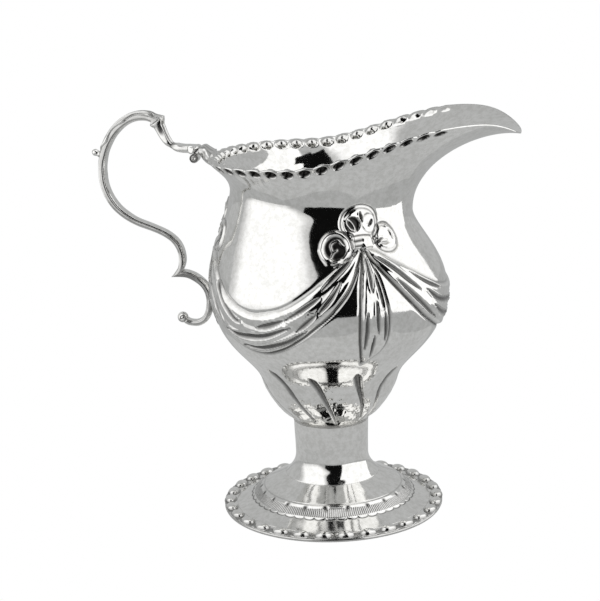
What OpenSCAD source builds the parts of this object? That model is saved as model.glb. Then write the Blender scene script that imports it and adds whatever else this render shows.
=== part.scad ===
// Silver cream jug: a raised body with a beaded rim and pouring lip, on a pedestal foot,
// with a cast scroll handle soldered on behind.
// The origin is the centre of the foot where it stands, +Z is up and +X points out of the lip.

/* [Body] */
// Thickness of the raised silver sheet
wall = 0.5; // [0.4:0.05:0.8]
// Radius where the bowl meets the stem
joint_r = 11.6; // [10.5:0.1:13]
// Height where the bowl meets the stem
joint_z = 28.4; // [26:0.2:31]
// Radius of the waist above the fluted calyx
waist_r = 20.5; // [18:0.5:23]
// Height of that waist
waist_z = 41; // [38:0.5:44]
// Greatest radius of the belly
belly_r = 36; // [33:0.5:39]
// How far the belly swings towards the lip
belly_swing = 0.5; // [0:0.1:1.5]
// Height of the belly
belly_z = 70.5; // [66:0.5:75]
// Radius of the neck under the lip
neck_lip_r = 26.5; // [24:0.5:29]
// Height of the neck under the lip
neck_lip_z = 93.5; // [90:0.5:97]
// Radius of the neck on the handle side
neck_back_r = 28.4; // [26:0.2:31]
// Height of the neck on the handle side
neck_back_z = 101; // [98:0.5:104]

/* [Rim and lip] */
// Reach of the lip from the axis
lip_reach = 58.8; // [50:0.2:65]
// Reach of the rim on the handle side
rim_back = 34; // [32:0.2:36]
// Half the width of the mouth
rim_side = 33.5; // [31:0.5:36]
// Squareness of the mouth's plan, where 2 is an ellipse
rim_power = 2.5; // [2:0.1:3]
// Height of the rim at the back
rim_z = 110.4; // [106:0.2:115]
// How far the rim climbs towards the lip
rim_rise = 10.9; // [8:0.1:14]
// How far the beak turns down again at its tip
beak_drop = 5.2; // [3:0.1:7]

/* [Foot] */
// Radius of the stem
stem_r = 11.3; // [10:0.1:12]
// Height of the joint between the stem and the spreading foot
shoulder_z = 10.5; // [9.5:0.1:11.5]
// Radius of that joint
shoulder_r = 14.6; // [14:0.1:15.5]
// Outer radius of the foot
foot_r = 34.5; // [32:0.5:38]
// Number of beads round the foot
foot_beads = 30; // [24:1:36]
// Radius of one foot bead
foot_bead_r = 1.7; // [1.2:0.1:1.9]
// Height of the wire ring that the foot stands on
ring_h = 1; // [0.8:0.1:1.2]

/* [Handle] */
// Width of the main scroll, side to side
handle_w = 4.6; // [3.6:0.2:5.6]
// Thickness of the main scroll, front to back
handle_t = 2.4; // [2:0.1:3]
// Thickness of the leaf laid over the top of the scroll
leaf_t = 0.6; // [0.4:0.1:1]
// Radius of the ball that ends the lower scroll
ball_r = 1.7; // [1.4:0.1:2]
// Radius of the small volute under the bracket
volute_r = 1.4; // [1:0.1:1.4]

/* [Hidden] */

// Facets of the raised shell: columns round the axis and rows along each stretch of its side
columns = 72;
side_rows = [5, 7, 9, 11];
top_row = side_rows[0] + side_rows[1] + side_rows[2] + side_rows[3];

// The calyx leaves the stem at 45 degrees and reaches the waist with this lean, mm out per mm up
waist_lean = 0.38;
calyx_pull = 6.3;
waist_pull = [3, 9.5];
belly_pull = [17.5, 9.5];
neck_pull = 5;
// Share of the distance from neck to rim that each end of the flare keeps its direction
flare_pull = 0.34;
// The flare's angle above level: a turned-out edge all round, a drooping beak at the lip
edge_angle = 50;
beak_angle = -12;
beak_spread = 25;
// The rim starts to climb behind the axis, and the beak turns down from here
rise_from = -8;
rise_length = 52;
drop_from = 44;
drop_power = 2.6;

// A point on the cubic curve with the four control points p
function curve(p, t) =
    let (s = 1 - t)
    s * s * s * p[0] + 3 * s * s * t * p[1] + 3 * s * t * t * p[2] + t * t * t * p[3];

// Points along a chain of cubic curves, with n steps on each
function chain(curves, n) = concat(
    [curves[0][0]],
    [for (c = curves) for (k = [1 : n]) curve(c, k / n)]
);

function unit(v) = v / norm(v);
function mix(a, b, t) = a + (b - a) * t;
function ease(t) = let (k = max(0, min(1, t))) k * k * (3 - 2 * k);

// ---- raised body ----

function rim_reach(angle) =
    let (front = cos(angle) > 0 ? lip_reach : rim_back)
    pow(pow(abs(cos(angle)) / front, rim_power) + pow(abs(sin(angle)) / rim_side, rim_power),
        -1 / rim_power);

function rim_height(x) =
    let (droop = max(0, (x - drop_from) / (lip_reach - drop_from)))
    rim_z + rim_rise * ease((x - rise_from) / rise_length) - beak_drop * pow(droop, drop_power);

// The body's side at one angle round the axis, as four curves from the stem to the rim
function side_curves(angle) =
    let (
        back = (1 - cos(angle)) / 2,
        turn = angle > 180 ? angle - 360 : angle,
        flare = mix(edge_angle, beak_angle, exp(-pow(turn / beak_spread, 2))),
        reach = rim_reach(angle),
        foot = [joint_r, joint_z],
        waist = [waist_r, waist_z],
        belly = [belly_r + belly_swing * cos(angle), belly_z],
        neck = [mix(neck_lip_r, neck_back_r, back), mix(neck_lip_z, neck_back_z, back)],
        rim = [reach, rim_height(reach * cos(angle))],
        pull = flare_pull * norm(rim - neck)
    )
    [
        [foot, foot + calyx_pull * [1, 1], waist - waist_pull[0] * [waist_lean, 1], waist],
        [waist, waist + waist_pull[1] * [waist_lean, 1], belly - [0, belly_pull[0]], belly],
        [belly, belly + [0, belly_pull[1]], neck - [0, neck_pull], neck],
        [neck, neck + [0, pull], rim - pull * [cos(flare), sin(flare)], rim]
    ];

function side_points(angle) =
    let (c = side_curves(angle))
    [for (s = [0 : 3]) for (k = [(s == 0 ? 0 : 1) : side_rows[s]])
        let (p = curve(c[s], k / side_rows[s])) [p[0] * cos(angle), p[0] * sin(angle), p[1]]];

outside = [for (i = [0 : columns - 1]) side_points(360 * i / columns)];

// Outward normal of the shell at column i and row j
function shell_normal(i, j) = unit(cross(
    outside[(i + 1) % columns][j] - outside[(i + columns - 1) % columns][j],
    outside[i][min(j + 1, top_row)] - outside[i][max(j - 1, 0)]
));

inside = [for (i = [0 : columns - 1])
    [for (j = [0 : top_row]) outside[i][j] - wall * shell_normal(i, j)]];

// The two triangles between two columns and two rows of a grid whose rows are w points long
function quad(a, b, j, w) = [
    [a * w + j, b * w + j, b * w + j + 1],
    [a * w + j, b * w + j + 1, a * w + j + 1]
];
function flipped(faces) = [for (f = faces) [f[2], f[1], f[0]]];
function shifted(faces, n) = [for (f = faces) f + n * [1, 1, 1]];

module body() {
    w = top_row + 1;
    n = columns * w;
    skin = [for (i = [0 : columns - 1]) for (j = [0 : top_row - 1])
        each quad(i, (i + 1) % columns, j, w)];
    edge = [for (i = [0 : columns - 1])
        let (a = i * w + top_row, b = ((i + 1) % columns) * w + top_row)
        each [[a, b, b + n], [a, b + n, a + n]]];
    under = [[for (i = [0 : columns - 1]) i * w]];
    floor_inside = [[for (i = [columns - 1 : -1 : 0]) n + i * w]];
    color("silver")
        polyhedron(
            points = concat([for (c = outside) each c], [for (c = inside) each c]),
            faces = concat(flipped(skin), shifted(skin, n), flipped(edge), under, floor_inside),
            convexity = 8
        );
}

// ---- pedestal foot ----

border_z = ring_h + wall;

// A profile moved sideways by t, towards its right-hand side as it is walked
function inset(path, t) = [for (i = [0 : len(path) - 1])
    let (d = unit(path[min(i + 1, len(path) - 1)] - path[max(i - 1, 0)]))
    path[i] + t * [d[1], -d[0]]];
function backwards(list) = [for (i = [len(list) - 1 : -1 : 0]) list[i]];

// The stem runs straight down to here, and then sweeps out in a cove to the joint
cove_top = 17;
cove_drop = 2.8;
cove_end = [-2, 2.1];
stem_side = concat(
    [[joint_r, joint_z]],
    [for (k = [0 : 12])
        curve([[stem_r, cove_top], [stem_r, cove_top - cove_drop],
            [shoulder_r, shoulder_z] + cove_end, [shoulder_r, shoulder_z]], k / 12)]
);

module stem() {
    bore_side = concat(
        [[joint_r - wall, joint_z]],
        [for (p = inset(stem_side, wall)) if (p[1] < joint_z - 1) p]
    );
    color("silver")
        rotate_extrude($fn = 96)
            polygon(concat(stem_side, [[shoulder_r, shoulder_z - wall]],
                backwards([for (p = bore_side) if (p[0] < shoulder_r) p])));
}

// A cone spreads from the stem, then the steeper engraved band, then a sweep to the border
band_in_r = 22;
band_in_z = 6.6;
band_out_r = 25.4;
band_out_z = 3.7;
border_in = foot_r - 4.2;
cone_sag = 0.15;
sweep_out = [1.6, -0.75];
sweep_in = [-1.6, 0.6];
dome_side = concat(
    [for (k = [0 : 4])
        mix([shoulder_r, shoulder_z], [band_in_r, band_in_z], k / 4)
            - [0, cone_sag * sin(180 * k / 4)]],
    [for (k = [0 : 8])
        let (band_out = [band_out_r, band_out_z], border = [border_in, border_z])
        curve([band_out, band_out + sweep_out, border + sweep_in, border], k / 8)]
);

module foot_dome() {
    underside = [for (p = inset(dome_side, wall)) if (p[0] > shoulder_r && p[0] < border_in) p];
    color("gainsboro")
        rotate_extrude($fn = 96)
            polygon(concat(dome_side, [[border_in, ring_h]], backwards(underside),
                [[shoulder_r, shoulder_z - wall]]));
}

// The border's edge is rounded by this much, and the beads are sunk this deep into it
border_round = 0.2;
bead_sink = 0.3;
cut = 10;
module foot_border() {
    bead_ring_r = foot_r - foot_bead_r - bead_sink;
    color("lightgray")
        difference() {
            union() {
                rotate_extrude($fn = 96)
                    polygon([
                        [border_in, ring_h], [foot_r - border_round, ring_h],
                        [foot_r, border_z - wall / 2], [foot_r - border_round, border_z],
                        [border_in, border_z]
                    ]);
                for (k = [0 : foot_beads - 1])
                    rotate([0, 0, (k + 0.5) * 360 / foot_beads])
                        translate([bead_ring_r, 0, border_z - bead_sink])
                            sphere(r = foot_bead_r, $fn = 24);
            }
            translate([0, 0, ring_h - cut])
                cylinder(r = foot_r + cut, h = cut, $fn = 96);
        }
}

ring_in = foot_r - 1.9;
ring_out = foot_r - 0.2;
module foot_ring() {
    color("darkgray")
        rotate_extrude($fn = 96)
            polygon([
                [ring_in, 0], [ring_out - border_round, 0], [ring_out, ring_h / 2],
                [ring_out - border_round, ring_h], [ring_in, ring_h]
            ]);
}

solder_size = 0.6;
module stem_solder() {
    color("white")
        rotate_extrude($fn = 96)
            polygon([[joint_r, joint_z], [joint_r, joint_z - solder_size],
                [joint_r + solder_size, joint_z + solder_size]]);
}

// ---- cast handle, swept along curves in the plane of the lip and the handle ----

main_curves = [
    [[-50, 121.3], [-51.2, 122.5], [-53, 122.9], [-55, 122.9]],
    [[-55, 122.9], [-60.8, 122.8], [-67.8, 115.6], [-67.8, 106]],
    [[-67.8, 106], [-67.8, 97.6], [-62.7, 92.7], [-56.7, 90.1]],
    [[-56.7, 90.1], [-51.2, 87.9], [-44.4, 86], [-44.4, 79]],
    [[-44.4, 79], [-44.4, 76.5], [-45, 75], [-46.3, 74.1]]
];
bracket_curves = [
    [[-50, 121.3], [-49, 119.6], [-48.4, 117.2], [-47, 115.3]],
    [[-47, 115.3], [-45.7, 113.6], [-43.6, 112.9], [-40.6, 112.9]]
];
collar_curves = [[[-40.6, 112.9], [-39.6, 112.9], [-38.6, 112.6], [-37.4, 112.3]]];
lower_curves = [
    [[-46.3, 74.1], [-44.5, 74.5], [-42.8, 74.2], [-41, 73.2]],
    [[-41, 73.2], [-37.8, 71.3], [-36.45, 68.8], [-36.45, 65.8]],
    [[-36.45, 65.8], [-36.45, 61.8], [-37.9, 58.6], [-41.2, 58.5]],
    [[-41.2, 58.5], [-42.6, 58.5], [-43.5, 58.8], [-44.2, 59.4]]
];
// Depth of the solder at the lower scroll, from below to above
solder_fill = [1.3, 0.35, 0.8];
// Half of each mitred joint, from the centre of the section to its outer edge
crown_cut = [2.1, 1.3];
spur_cut = [-1.9, -0.95];
collar_end_cut = [0, 1.3];

// Sections of a sweep have this many corners, and this squareness
corners = 12;
squareness = 3;
function squared(v) = sign(v) * pow(abs(v), 2 / squareness);

// Each frame is [centre, half thickness towards the outside of the bend, half width].
// The ends may be cut at a slant, and half thickness and half width run through their lists.
function along(list, t) =
    let (f = t * (len(list) - 1), k = min(floor(f), len(list) - 2))
    mix(list[k], list[k + 1], f - k);
function frames(path, side, thick, wide, first_cut, last_cut) =
    let (n = len(path) - 1)
    [for (i = [0 : n])
        let (
            d = unit(path[min(i + 1, n)] - path[max(i - 1, 0)]),
            half = along(thick, i / n) * side * [-d[1], d[0]]
        )
        [path[i], i == 0 && first_cut ? first_cut : i == n && last_cut ? last_cut : half,
            along(wide, i / n)]];

// A point of a section, by its angle from the outer edge and its share of the half thickness
function section_point(f, angle, grow) =
    let (p = f[0] + (1 + grow) * squared(cos(angle)) * f[1])
    [p[0], f[2] * squared(sin(angle)), p[1]];

// Joins rings of k points each into one closed solid
module rings(points, k) {
    n = len(points) / k;
    polyhedron(
        points = points,
        faces = concat(
            [[for (c = [0 : k - 1]) c]],
            [for (i = [0 : n - 2]) for (c = [0 : k - 1])
                let (a = i * k + c, b = i * k + (c + 1) % k)
                each [[a, a + k, b + k], [a, b + k, b]]],
            [[for (c = [k - 1 : -1 : 0]) (n - 1) * k + c]]
        ),
        convexity = 6
    );
}

module sweep(list, side) {
    rings([for (f = list) for (c = [0 : corners - 1])
        section_point(f, -side * 360 * c / corners, 0)], corners);
}

// A closed solid between two grids of points, whose columns are w points long. The base grid is
// walked anticlockwise as seen from the outer one.
module slab(base, outer, w) {
    n = len(base);
    last = n / w - 1;
    skin = [for (i = [0 : last - 1]) for (j = [0 : w - 2]) each quad(i, i + 1, j, w)];
    sides = concat(
        [for (i = [0 : last - 1]) let (a = i * w, b = a + w)
            each [[b, a, b + n], [a, a + n, b + n]]],
        [for (i = [0 : last - 1]) let (a = i * w + w - 1, b = a + w)
            each [[a, b, b + n], [a, b + n, a + n]]],
        [for (j = [0 : w - 2]) each [[j, j + 1, j + 1 + n], [j, j + 1 + n, j + n]]],
        [for (j = [0 : w - 2]) let (a = n - w + j)
            each [[a + 1, a, a + 1 + n], [a, a + n, a + 1 + n]]]
    );
    polyhedron(
        points = concat(base, outer),
        faces = concat(skin, flipped(shifted(skin, n)), sides),
        convexity = 4
    );
}

// A thickened patch of the shell: its inner face shares the shell's own corners
module patch(cols, rows, outer) {
    slab([for (i = cols) for (j = rows) outside[i][j]], outer, len(rows));
}

curve_steps = 9;
main_frames = frames(chain(main_curves, curve_steps), -1,
    [handle_t / 2, handle_t / 2 + 0.05, handle_t / 2, handle_t / 2 - 0.2, handle_t / 2 - 0.1],
    [handle_w / 2, handle_w / 2, handle_w / 2, handle_w / 2 - 0.2, handle_w / 2 - 0.2],
    crown_cut, spur_cut);

module handle_scroll() {
    color("silver")
        sweep(main_frames, -1);
}

// The leaf lies on the outer half of the scroll, from the crown to the thumb bud
leaf_last = 14;
leaf_angles = [90 : -30 : -90];
leaf_spread = 0.35;
module handle_leaf() {
    laid = [for (i = [0 : leaf_last])
        let (
            f = main_frames[i],
            t = leaf_t * (i < 2 ? 1.2 : 1 - 0.5 * i / leaf_last) / norm(f[1])
        )
        [for (a = leaf_angles)
            [section_point(f, a, 0), section_point(f, a, t) + [0, leaf_spread * sin(a), 0]]]];
    color("whitesmoke")
        slab([for (row = laid) for (p = row) p[0]], [for (row = laid) for (p = row) p[1]],
            len(laid[0]));
}

// A small pointed bud that the thumb rests against, standing off the back of the scroll
bud_r = 0.9;
bud_base_r = 1.1;
bud_h = 1.2;
bud_lean = -80;
module thumb_bud() {
    base = main_frames[leaf_last + 1];
    root = base[0] + base[1];
    color("silver")
        translate([root[0], 0, root[1]])
            rotate([0, bud_lean, 0]) {
                cylinder(r1 = bud_base_r, r2 = bud_r, h = bud_h, $fn = 32);
                translate([0, 0, bud_h])
                    intersection() {
                        sphere(r = bud_r, $fn = 32);
                        cylinder(r = cut, h = cut, $fn = 32);
                    }
            }
}

module handle_bracket() {
    color("silver")
        sweep(frames(chain(bracket_curves, curve_steps), 1, [1.9, 1.3, 1.3],
            [handle_w / 2, handle_w / 2 - 0.1, handle_w / 2 - 0.1], crown_cut, false), 1);
}

// The rolled leaf where the bracket swells before it meets the rim
collar_frames = frames(chain(collar_curves, 4), 1, [1.3, 1.2, 1.3],
    [handle_w / 2 + 0.1, handle_w / 2 + 0.7, handle_w / 2 + 0.4], false, collar_end_cut);
module bracket_collar() {
    color("whitesmoke")
        sweep(collar_frames, 1);
}

// The volute is cut flat where the collar sits on it
volute_x = -39;
volute_top = 111.25;
volute_flat = 0.2;
module bracket_volute() {
    color("silver")
        translate([volute_x, 0, volute_top - volute_r + volute_flat])
            difference() {
                rotate([90, 0, 0])
                    cylinder(r = volute_r, h = handle_w, center = true, $fn = 48);
                translate([-cut / 2, -cut / 2, volute_r - volute_flat])
                    cube(cut);
            }
}

// The leaf-shaped pad between the collar and the back of the rim
pad_x = collar_curves[0][3][0];
pad_foot = collar_curves[0][3][1] - collar_end_cut[1];
pad_head = collar_curves[0][3][1] + collar_end_cut[1];
back_column = columns / 2;
module rim_pad() {
    cols = [for (i = [-2 : 2]) back_column + i];
    rows = [for (j = [-5 : 0]) top_row + j];
    outer = [for (i = cols) for (j = rows)
        let (
            p = outside[i][j],
            mid = abs(i - back_column) < 2,
            up = (j - rows[0]) / 5
        )
        mid && up > 0.5
            ? [pad_x, p[1], mix(pad_foot, pad_head, (up - 0.6) / 0.4)]
            : p + [-0.5 - 2.2 * up, 0, -0.4 + (mid ? 0 : 1.6 * up)]];
    color("whitesmoke")
        patch(cols, rows, outer);
}

module lower_scroll() {
    color("silver")
        sweep(frames(chain(lower_curves, 8), 1,
            [1.1, 1.2, 1.15, 1.1, 1, 0.95], [handle_w / 2 - 0.2, 2, 1.9, 1.8, 1.7],
            -spur_cut, false), 1);
}

// The ball is cut flat where the scroll's end is soldered to it
module scroll_ball() {
    path = chain(lower_curves, 8);
    tip = path[len(path) - 1];
    ahead = unit(tip - path[len(path) - 2]);
    depth = sqrt(ball_r * ball_r - 1);
    color("silver")
        translate([tip[0], 0, tip[1]])
            rotate([0, 90 - atan2(ahead[1], ahead[0]), 0])
                difference() {
                    translate([0, 0, depth])
                        sphere(r = ball_r, $fn = 48);
                    translate([-cut / 2, -cut / 2, -cut])
                        cube(cut);
                }
}

// Solder between the lower scroll and the belly, thick where the scroll curves away
module lower_solder() {
    cols = [for (i = [-1 : 1]) back_column + i];
    rows = [10 : 12];
    color("white")
        patch(cols, [for (j = rows) j], [for (i = cols) for (j = rows)
            let (p = outside[i][j])
            [p[0] - solder_fill[j - rows[0]], p[1] / 2, p[2]]]);
}

body();
stem();
foot_dome();
foot_border();
foot_ring();
stem_solder();
handle_scroll();
handle_leaf();
thumb_bud();
handle_bracket();
bracket_collar();
bracket_volute();
rim_pad();
lower_scroll();
scroll_ball();
lower_solder();
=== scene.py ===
import math

import bmesh
import bpy
import numpy as np
from mathutils import Matrix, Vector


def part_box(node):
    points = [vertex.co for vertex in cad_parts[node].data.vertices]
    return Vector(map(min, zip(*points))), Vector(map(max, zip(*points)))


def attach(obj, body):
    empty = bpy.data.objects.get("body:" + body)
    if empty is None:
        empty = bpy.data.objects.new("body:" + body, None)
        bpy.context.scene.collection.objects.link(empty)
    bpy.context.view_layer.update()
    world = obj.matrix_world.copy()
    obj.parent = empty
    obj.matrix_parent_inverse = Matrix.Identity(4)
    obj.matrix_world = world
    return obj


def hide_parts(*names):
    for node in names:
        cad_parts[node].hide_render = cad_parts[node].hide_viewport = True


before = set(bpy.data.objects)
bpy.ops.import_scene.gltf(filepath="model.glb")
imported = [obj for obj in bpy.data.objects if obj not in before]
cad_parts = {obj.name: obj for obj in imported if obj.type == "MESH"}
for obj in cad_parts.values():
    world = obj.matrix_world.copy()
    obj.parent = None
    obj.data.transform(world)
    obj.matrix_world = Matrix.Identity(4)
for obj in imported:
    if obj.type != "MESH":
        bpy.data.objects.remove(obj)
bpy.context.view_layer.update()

MM = 0.001


def top_of(node):
    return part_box(node)[1] / MM


def bottom_of(node):
    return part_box(node)[0] / MM


# ---- small maths, all in millimetres and degrees ----

def ease(t):
    t = np.clip(t, 0, 1)
    return t * t * (3 - 2 * t)


def mix(a, b, t):
    return a + (b - a) * t


def bell(d, width):
    """1 at d = 0, falling to nearly nothing two widths away."""
    return np.exp(-(d / width) ** 2)


def bezier(p, n, first=0):
    """n + 1 points on the cubic curve with four control points, from number first."""
    p = np.asarray(p, float)
    t = np.linspace(0, 1, n + 1)[first:, None]
    s = 1 - t
    return s ** 3 * p[0] + 3 * s * s * t * p[1] + 3 * s * t * t * p[2] + t ** 3 * p[3]


def chain(curves, n):
    return np.vstack([bezier(c, n, 0 if i == 0 else 1) for i, c in enumerate(curves)])


def unit(v):
    return v / np.maximum(np.linalg.norm(v, axis=-1, keepdims=True), 1e-9)


def waviness(a, b, scale, seed):
    """Smooth noise between -1 and 1 over two coordinates: a seeded sum of waves about scale long."""
    rng = np.random.default_rng(seed)
    total = np.zeros(np.broadcast(a, b).shape)
    for _ in range(9):
        angle, phase = rng.uniform(0, 2 * math.pi, 2)
        k = 2 * math.pi / (scale * rng.uniform(0.7, 1.6))
        total += np.sin(k * (a * math.cos(angle) + b * math.sin(angle)) + phase)
    return total / 5


def rounded(points, n=5):
    """The same line with its corners rounded: a smooth curve through all the points."""
    p = np.asarray(points, float)
    slope = np.gradient(p, axis=0)
    t = np.linspace(0, 1, n, endpoint=False)[:, None]
    runs = []
    for a, b, da, db in zip(p[:-1], p[1:], slope[:-1], slope[1:]):
        runs.append((2 * t ** 3 - 3 * t ** 2 + 1) * a + (t ** 3 - 2 * t ** 2 + t) * da
                    + (3 * t ** 2 - 2 * t ** 3) * b + (t ** 3 - t ** 2) * db)
    return np.vstack(runs + [p[-1:]])


def line_field(u, v, points):
    """Distance from every (u, v) to a polyline, and how far along it the nearest place is, 0 to 1."""
    points = np.asarray(points, float)
    steps = np.diff(points, axis=0)
    lengths = np.hypot(steps[:, 0], steps[:, 1])
    total = lengths.sum()
    best = np.full(u.shape, 1e9)
    along = np.zeros(u.shape)
    done = 0.0
    for (pu, pv), (du, dv), length in zip(points[:-1], steps, lengths):
        t = np.clip(((u - pu) * du + (v - pv) * dv) / max(length ** 2, 1e-9), 0, 1)
        d = np.hypot(u - pu - t * du, v - pv - t * dv)
        nearer = d < best
        best = np.where(nearer, d, best)
        along = np.where(nearer, (done + t * length) / total, along)
        done += length
    return best, along


# ---- meshes ----

def piece(name, verts, faces, node, material, tarnish_and_shade=None):
    """A mesh piece given in millimetres, standing for one CAD node."""
    mesh = bpy.data.meshes.new(name)
    mesh.from_pydata((np.asarray(verts) * MM).tolist(), [], faces)
    mesh.validate()
    mesh.update()
    # per-point darkness: oxide in the chasing and cuts, and painted shade on parts of the foot and handle
    values = np.zeros(len(verts)) if tarnish_and_shade is None else np.clip(tarnish_and_shade, 0, 1)
    dark = mesh.attributes.new("tarnish_and_shade", "FLOAT", "POINT")
    dark.data.foreach_set("value", values.astype(np.float32))
    mesh.shade_smooth()
    mesh.materials.append(material)
    obj = bpy.data.objects.new(name, mesh)
    bpy.context.scene.collection.objects.link(obj)
    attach(obj, "root")
    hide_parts(node)
    return obj


def recalc(obj):
    """Turns every face of a closed mesh outwards."""
    bm = bmesh.new()
    bm.from_mesh(obj.data)
    bmesh.ops.recalc_face_normals(bm, faces=bm.faces)
    bm.to_mesh(obj.data)
    bm.free()
    return obj


def grid_faces(rows, cols, start=0, close_rows=False, close_cols=False, flip=False):
    """Quads over a grid of points stored row after row."""
    r = np.arange(rows if close_rows else rows - 1)
    c = np.arange(cols if close_cols else cols - 1)
    r0, c0 = np.meshgrid(r, c, indexing="ij")
    r1, c1 = (r0 + 1) % rows, (c0 + 1) % cols
    quads = np.stack([r0 * cols + c0, r0 * cols + c1, r1 * cols + c1, r1 * cols + c0], -1)
    quads = quads.reshape(-1, 4) + start
    return (quads[:, ::-1] if flip else quads).tolist()


def sheet_faces(rows, cols):
    """A closed sheet: a grid, the same grid behind it, and the walls round their edge."""
    behind = rows * cols
    edge = [i * cols for i in range(rows)] + [(rows - 1) * cols + j for j in range(1, cols)]
    edge += [i * cols + cols - 1 for i in range(rows - 2, -1, -1)] + list(range(cols - 2, 0, -1))
    walls = [[a, b, b + behind, a + behind] for a, b in zip(edge, edge[1:] + edge[:1])]
    return grid_faces(rows, cols) + grid_faces(rows, cols, behind, flip=True) + walls


def circle(n):
    return np.arange(n) * 2 * math.pi / n


def fan(ring, centre, flip=False):
    n = len(ring)
    made = [[ring[i], ring[(i + 1) % n], centre] for i in range(n)]
    return [f[::-1] for f in made] if flip else made


def normals_of(points):
    """Outward normals of a grid [angle, row, xyz] that closes round its first axis."""
    round_ = np.roll(points, -1, 0) - np.roll(points, 1, 0)
    up = np.gradient(points, axis=1)
    return unit(np.cross(round_, up))


# ---- materials ----

def silver(name, tone, low, high, hammer, grain):
    """Polished silver: its roughness drifts between low and high, with faint dents, fine scratches,
    and darkening read from the mesh's per-point attribute: dark oxide, and in places painted shade."""
    mat = bpy.data.materials.new(name)
    mat.use_nodes = True
    nodes, links = mat.node_tree.nodes, mat.node_tree.links
    shader = nodes["Principled BSDF"]
    shader.inputs["Metallic"].default_value = 1.0
    shader.inputs["IOR"].default_value = 1.5
    place = nodes.new("ShaderNodeTexCoord")

    def noise(scale, detail, rough=0.5):
        n = nodes.new("ShaderNodeTexNoise")
        n.inputs["Scale"].default_value = scale
        n.inputs["Detail"].default_value = detail
        n.inputs["Roughness"].default_value = rough
        links.new(place.outputs["Object"], n.inputs["Vector"])
        return n.outputs["Fac"]

    def ramp(source, stops):
        r = nodes.new("ShaderNodeValToRGB")
        while len(r.color_ramp.elements) < len(stops):
            r.color_ramp.elements.new(0.5)
        for element, (at, colour) in zip(r.color_ramp.elements, stops):
            element.position = at
            element.color = (*colour, 1)
        links.new(source, r.inputs["Fac"])
        return r.outputs["Color"]

    def spread(source, low_in, high_in, low_out, high_out):
        m = nodes.new("ShaderNodeMapRange")
        m.inputs["From Min"].default_value = low_in
        m.inputs["From Max"].default_value = high_in
        m.inputs["To Min"].default_value = low_out
        m.inputs["To Max"].default_value = high_out
        links.new(source, m.inputs["Value"])
        return m.outputs["Result"]

    def add(a, b):
        m = nodes.new("ShaderNodeMath")
        m.operation = "ADD"
        links.new(a, m.inputs[0])
        links.new(b, m.inputs[1])
        return m.outputs["Value"]

    oxide_and_shade = nodes.new("ShaderNodeAttribute")
    oxide_and_shade.attribute_name = "tarnish_and_shade"
    cloud = ramp(noise(70, 4), [
        (0.35, tuple(0.93 * t for t in tone)), (0.65, tone),
    ])
    film = ramp(noise(650, 6, 0.7), [(0.4, (0.86, 0.86, 0.85)), (0.58, (1, 1, 1))])
    clean = nodes.new("ShaderNodeMix")
    clean.data_type = "RGBA"
    clean.blend_type = "MULTIPLY"
    clean.inputs["Factor"].default_value = 1.0
    links.new(cloud, clean.inputs["A"])
    links.new(film, clean.inputs["B"])
    oxide_and_shade_mix = nodes.new("ShaderNodeMix")
    oxide_and_shade_mix.data_type = "RGBA"
    oxide_and_shade_mix.inputs["B"].default_value = (0.012, 0.011, 0.010, 1)
    links.new(oxide_and_shade.outputs["Fac"], oxide_and_shade_mix.inputs["Factor"])
    links.new(clean.outputs["Result"], oxide_and_shade_mix.inputs["A"])
    links.new(oxide_and_shade_mix.outputs["Result"], shader.inputs["Base Color"])
    rough = add(spread(noise(110, 5), 0.3, 0.7, low, high),
                spread(oxide_and_shade.outputs["Fac"], 0, 1, 0, 0.25))
    links.new(rough, shader.inputs["Roughness"])
    dents = nodes.new("ShaderNodeBump")
    dents.inputs["Strength"].default_value = hammer
    dents.inputs["Distance"].default_value = 0.0006
    links.new(noise(160, 2), dents.inputs["Height"])
    scratches = nodes.new("ShaderNodeBump")
    scratches.inputs["Strength"].default_value = grain
    scratches.inputs["Distance"].default_value = 0.00006
    links.new(noise(1800, 6, 0.7), scratches.inputs["Height"])
    links.new(dents.outputs["Normal"], scratches.inputs["Normal"])
    links.new(scratches.outputs["Normal"], shader.inputs["Normal"])
    return mat


RAISED = silver("raised_silver_polished", (0.95, 0.945, 0.93), 0.045, 0.085, 0.10, 0.06)
FOOT = silver("foot_silver_polished", (0.95, 0.945, 0.93), 0.05, 0.10, 0.10, 0.08)
CAST = silver("cast_silver_worn", (0.94, 0.935, 0.92), 0.08, 0.15, 0.16, 0.10)
SOLDER = silver("silver_solder_dull", (0.90, 0.89, 0.86), 0.16, 0.26, 0.35, 0.2)

# ---- the raised body ----

BODY_TOP = top_of("body")
LIP_REACH = BODY_TOP.x
RIM_BACK = 34.0
RIM_SIDE = 33.5
RIM_POWER = 2.5
RIM_Z, RIM_RISE, BEAK_DROP = 110.4, 10.9, 5.2
RISE_FROM, RISE_LENGTH, DROP_FROM, DROP_POWER = -8.0, 52.0, 44.0, 2.6
JOINT_R, JOINT_Z = 11.6, bottom_of("body").z
WAIST_R, WAIST_Z, WAIST_LEAN = 20.5, 41.0, 0.38
BELLY_R, BELLY_SWING, BELLY_Z = 36.0, 0.5, 70.5
NECK_LIP, NECK_BACK = (26.5, 93.5), (28.4, 101.0)
EDGE_ANGLE, BEAK_ANGLE, BEAK_SPREAD = 50.0, -12.0, 25.0
WALL = 0.5
BODY_COLUMNS = 720
BODY_ROWS = (44, 96, 92, 84)


def rim_curve(theta):
    c, s = np.cos(np.radians(theta)), np.sin(np.radians(theta))
    front = np.where(c > 0, LIP_REACH, RIM_BACK)
    across = (np.abs(c) / front) ** RIM_POWER + (np.abs(s) / RIM_SIDE) ** RIM_POWER
    reach = across ** (-1 / RIM_POWER)
    droop = np.maximum(0, (reach * c - DROP_FROM) / (LIP_REACH - DROP_FROM)) ** DROP_POWER
    return reach, RIM_Z + RIM_RISE * ease((reach * c - RISE_FROM) / RISE_LENGTH) - BEAK_DROP * droop


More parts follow.
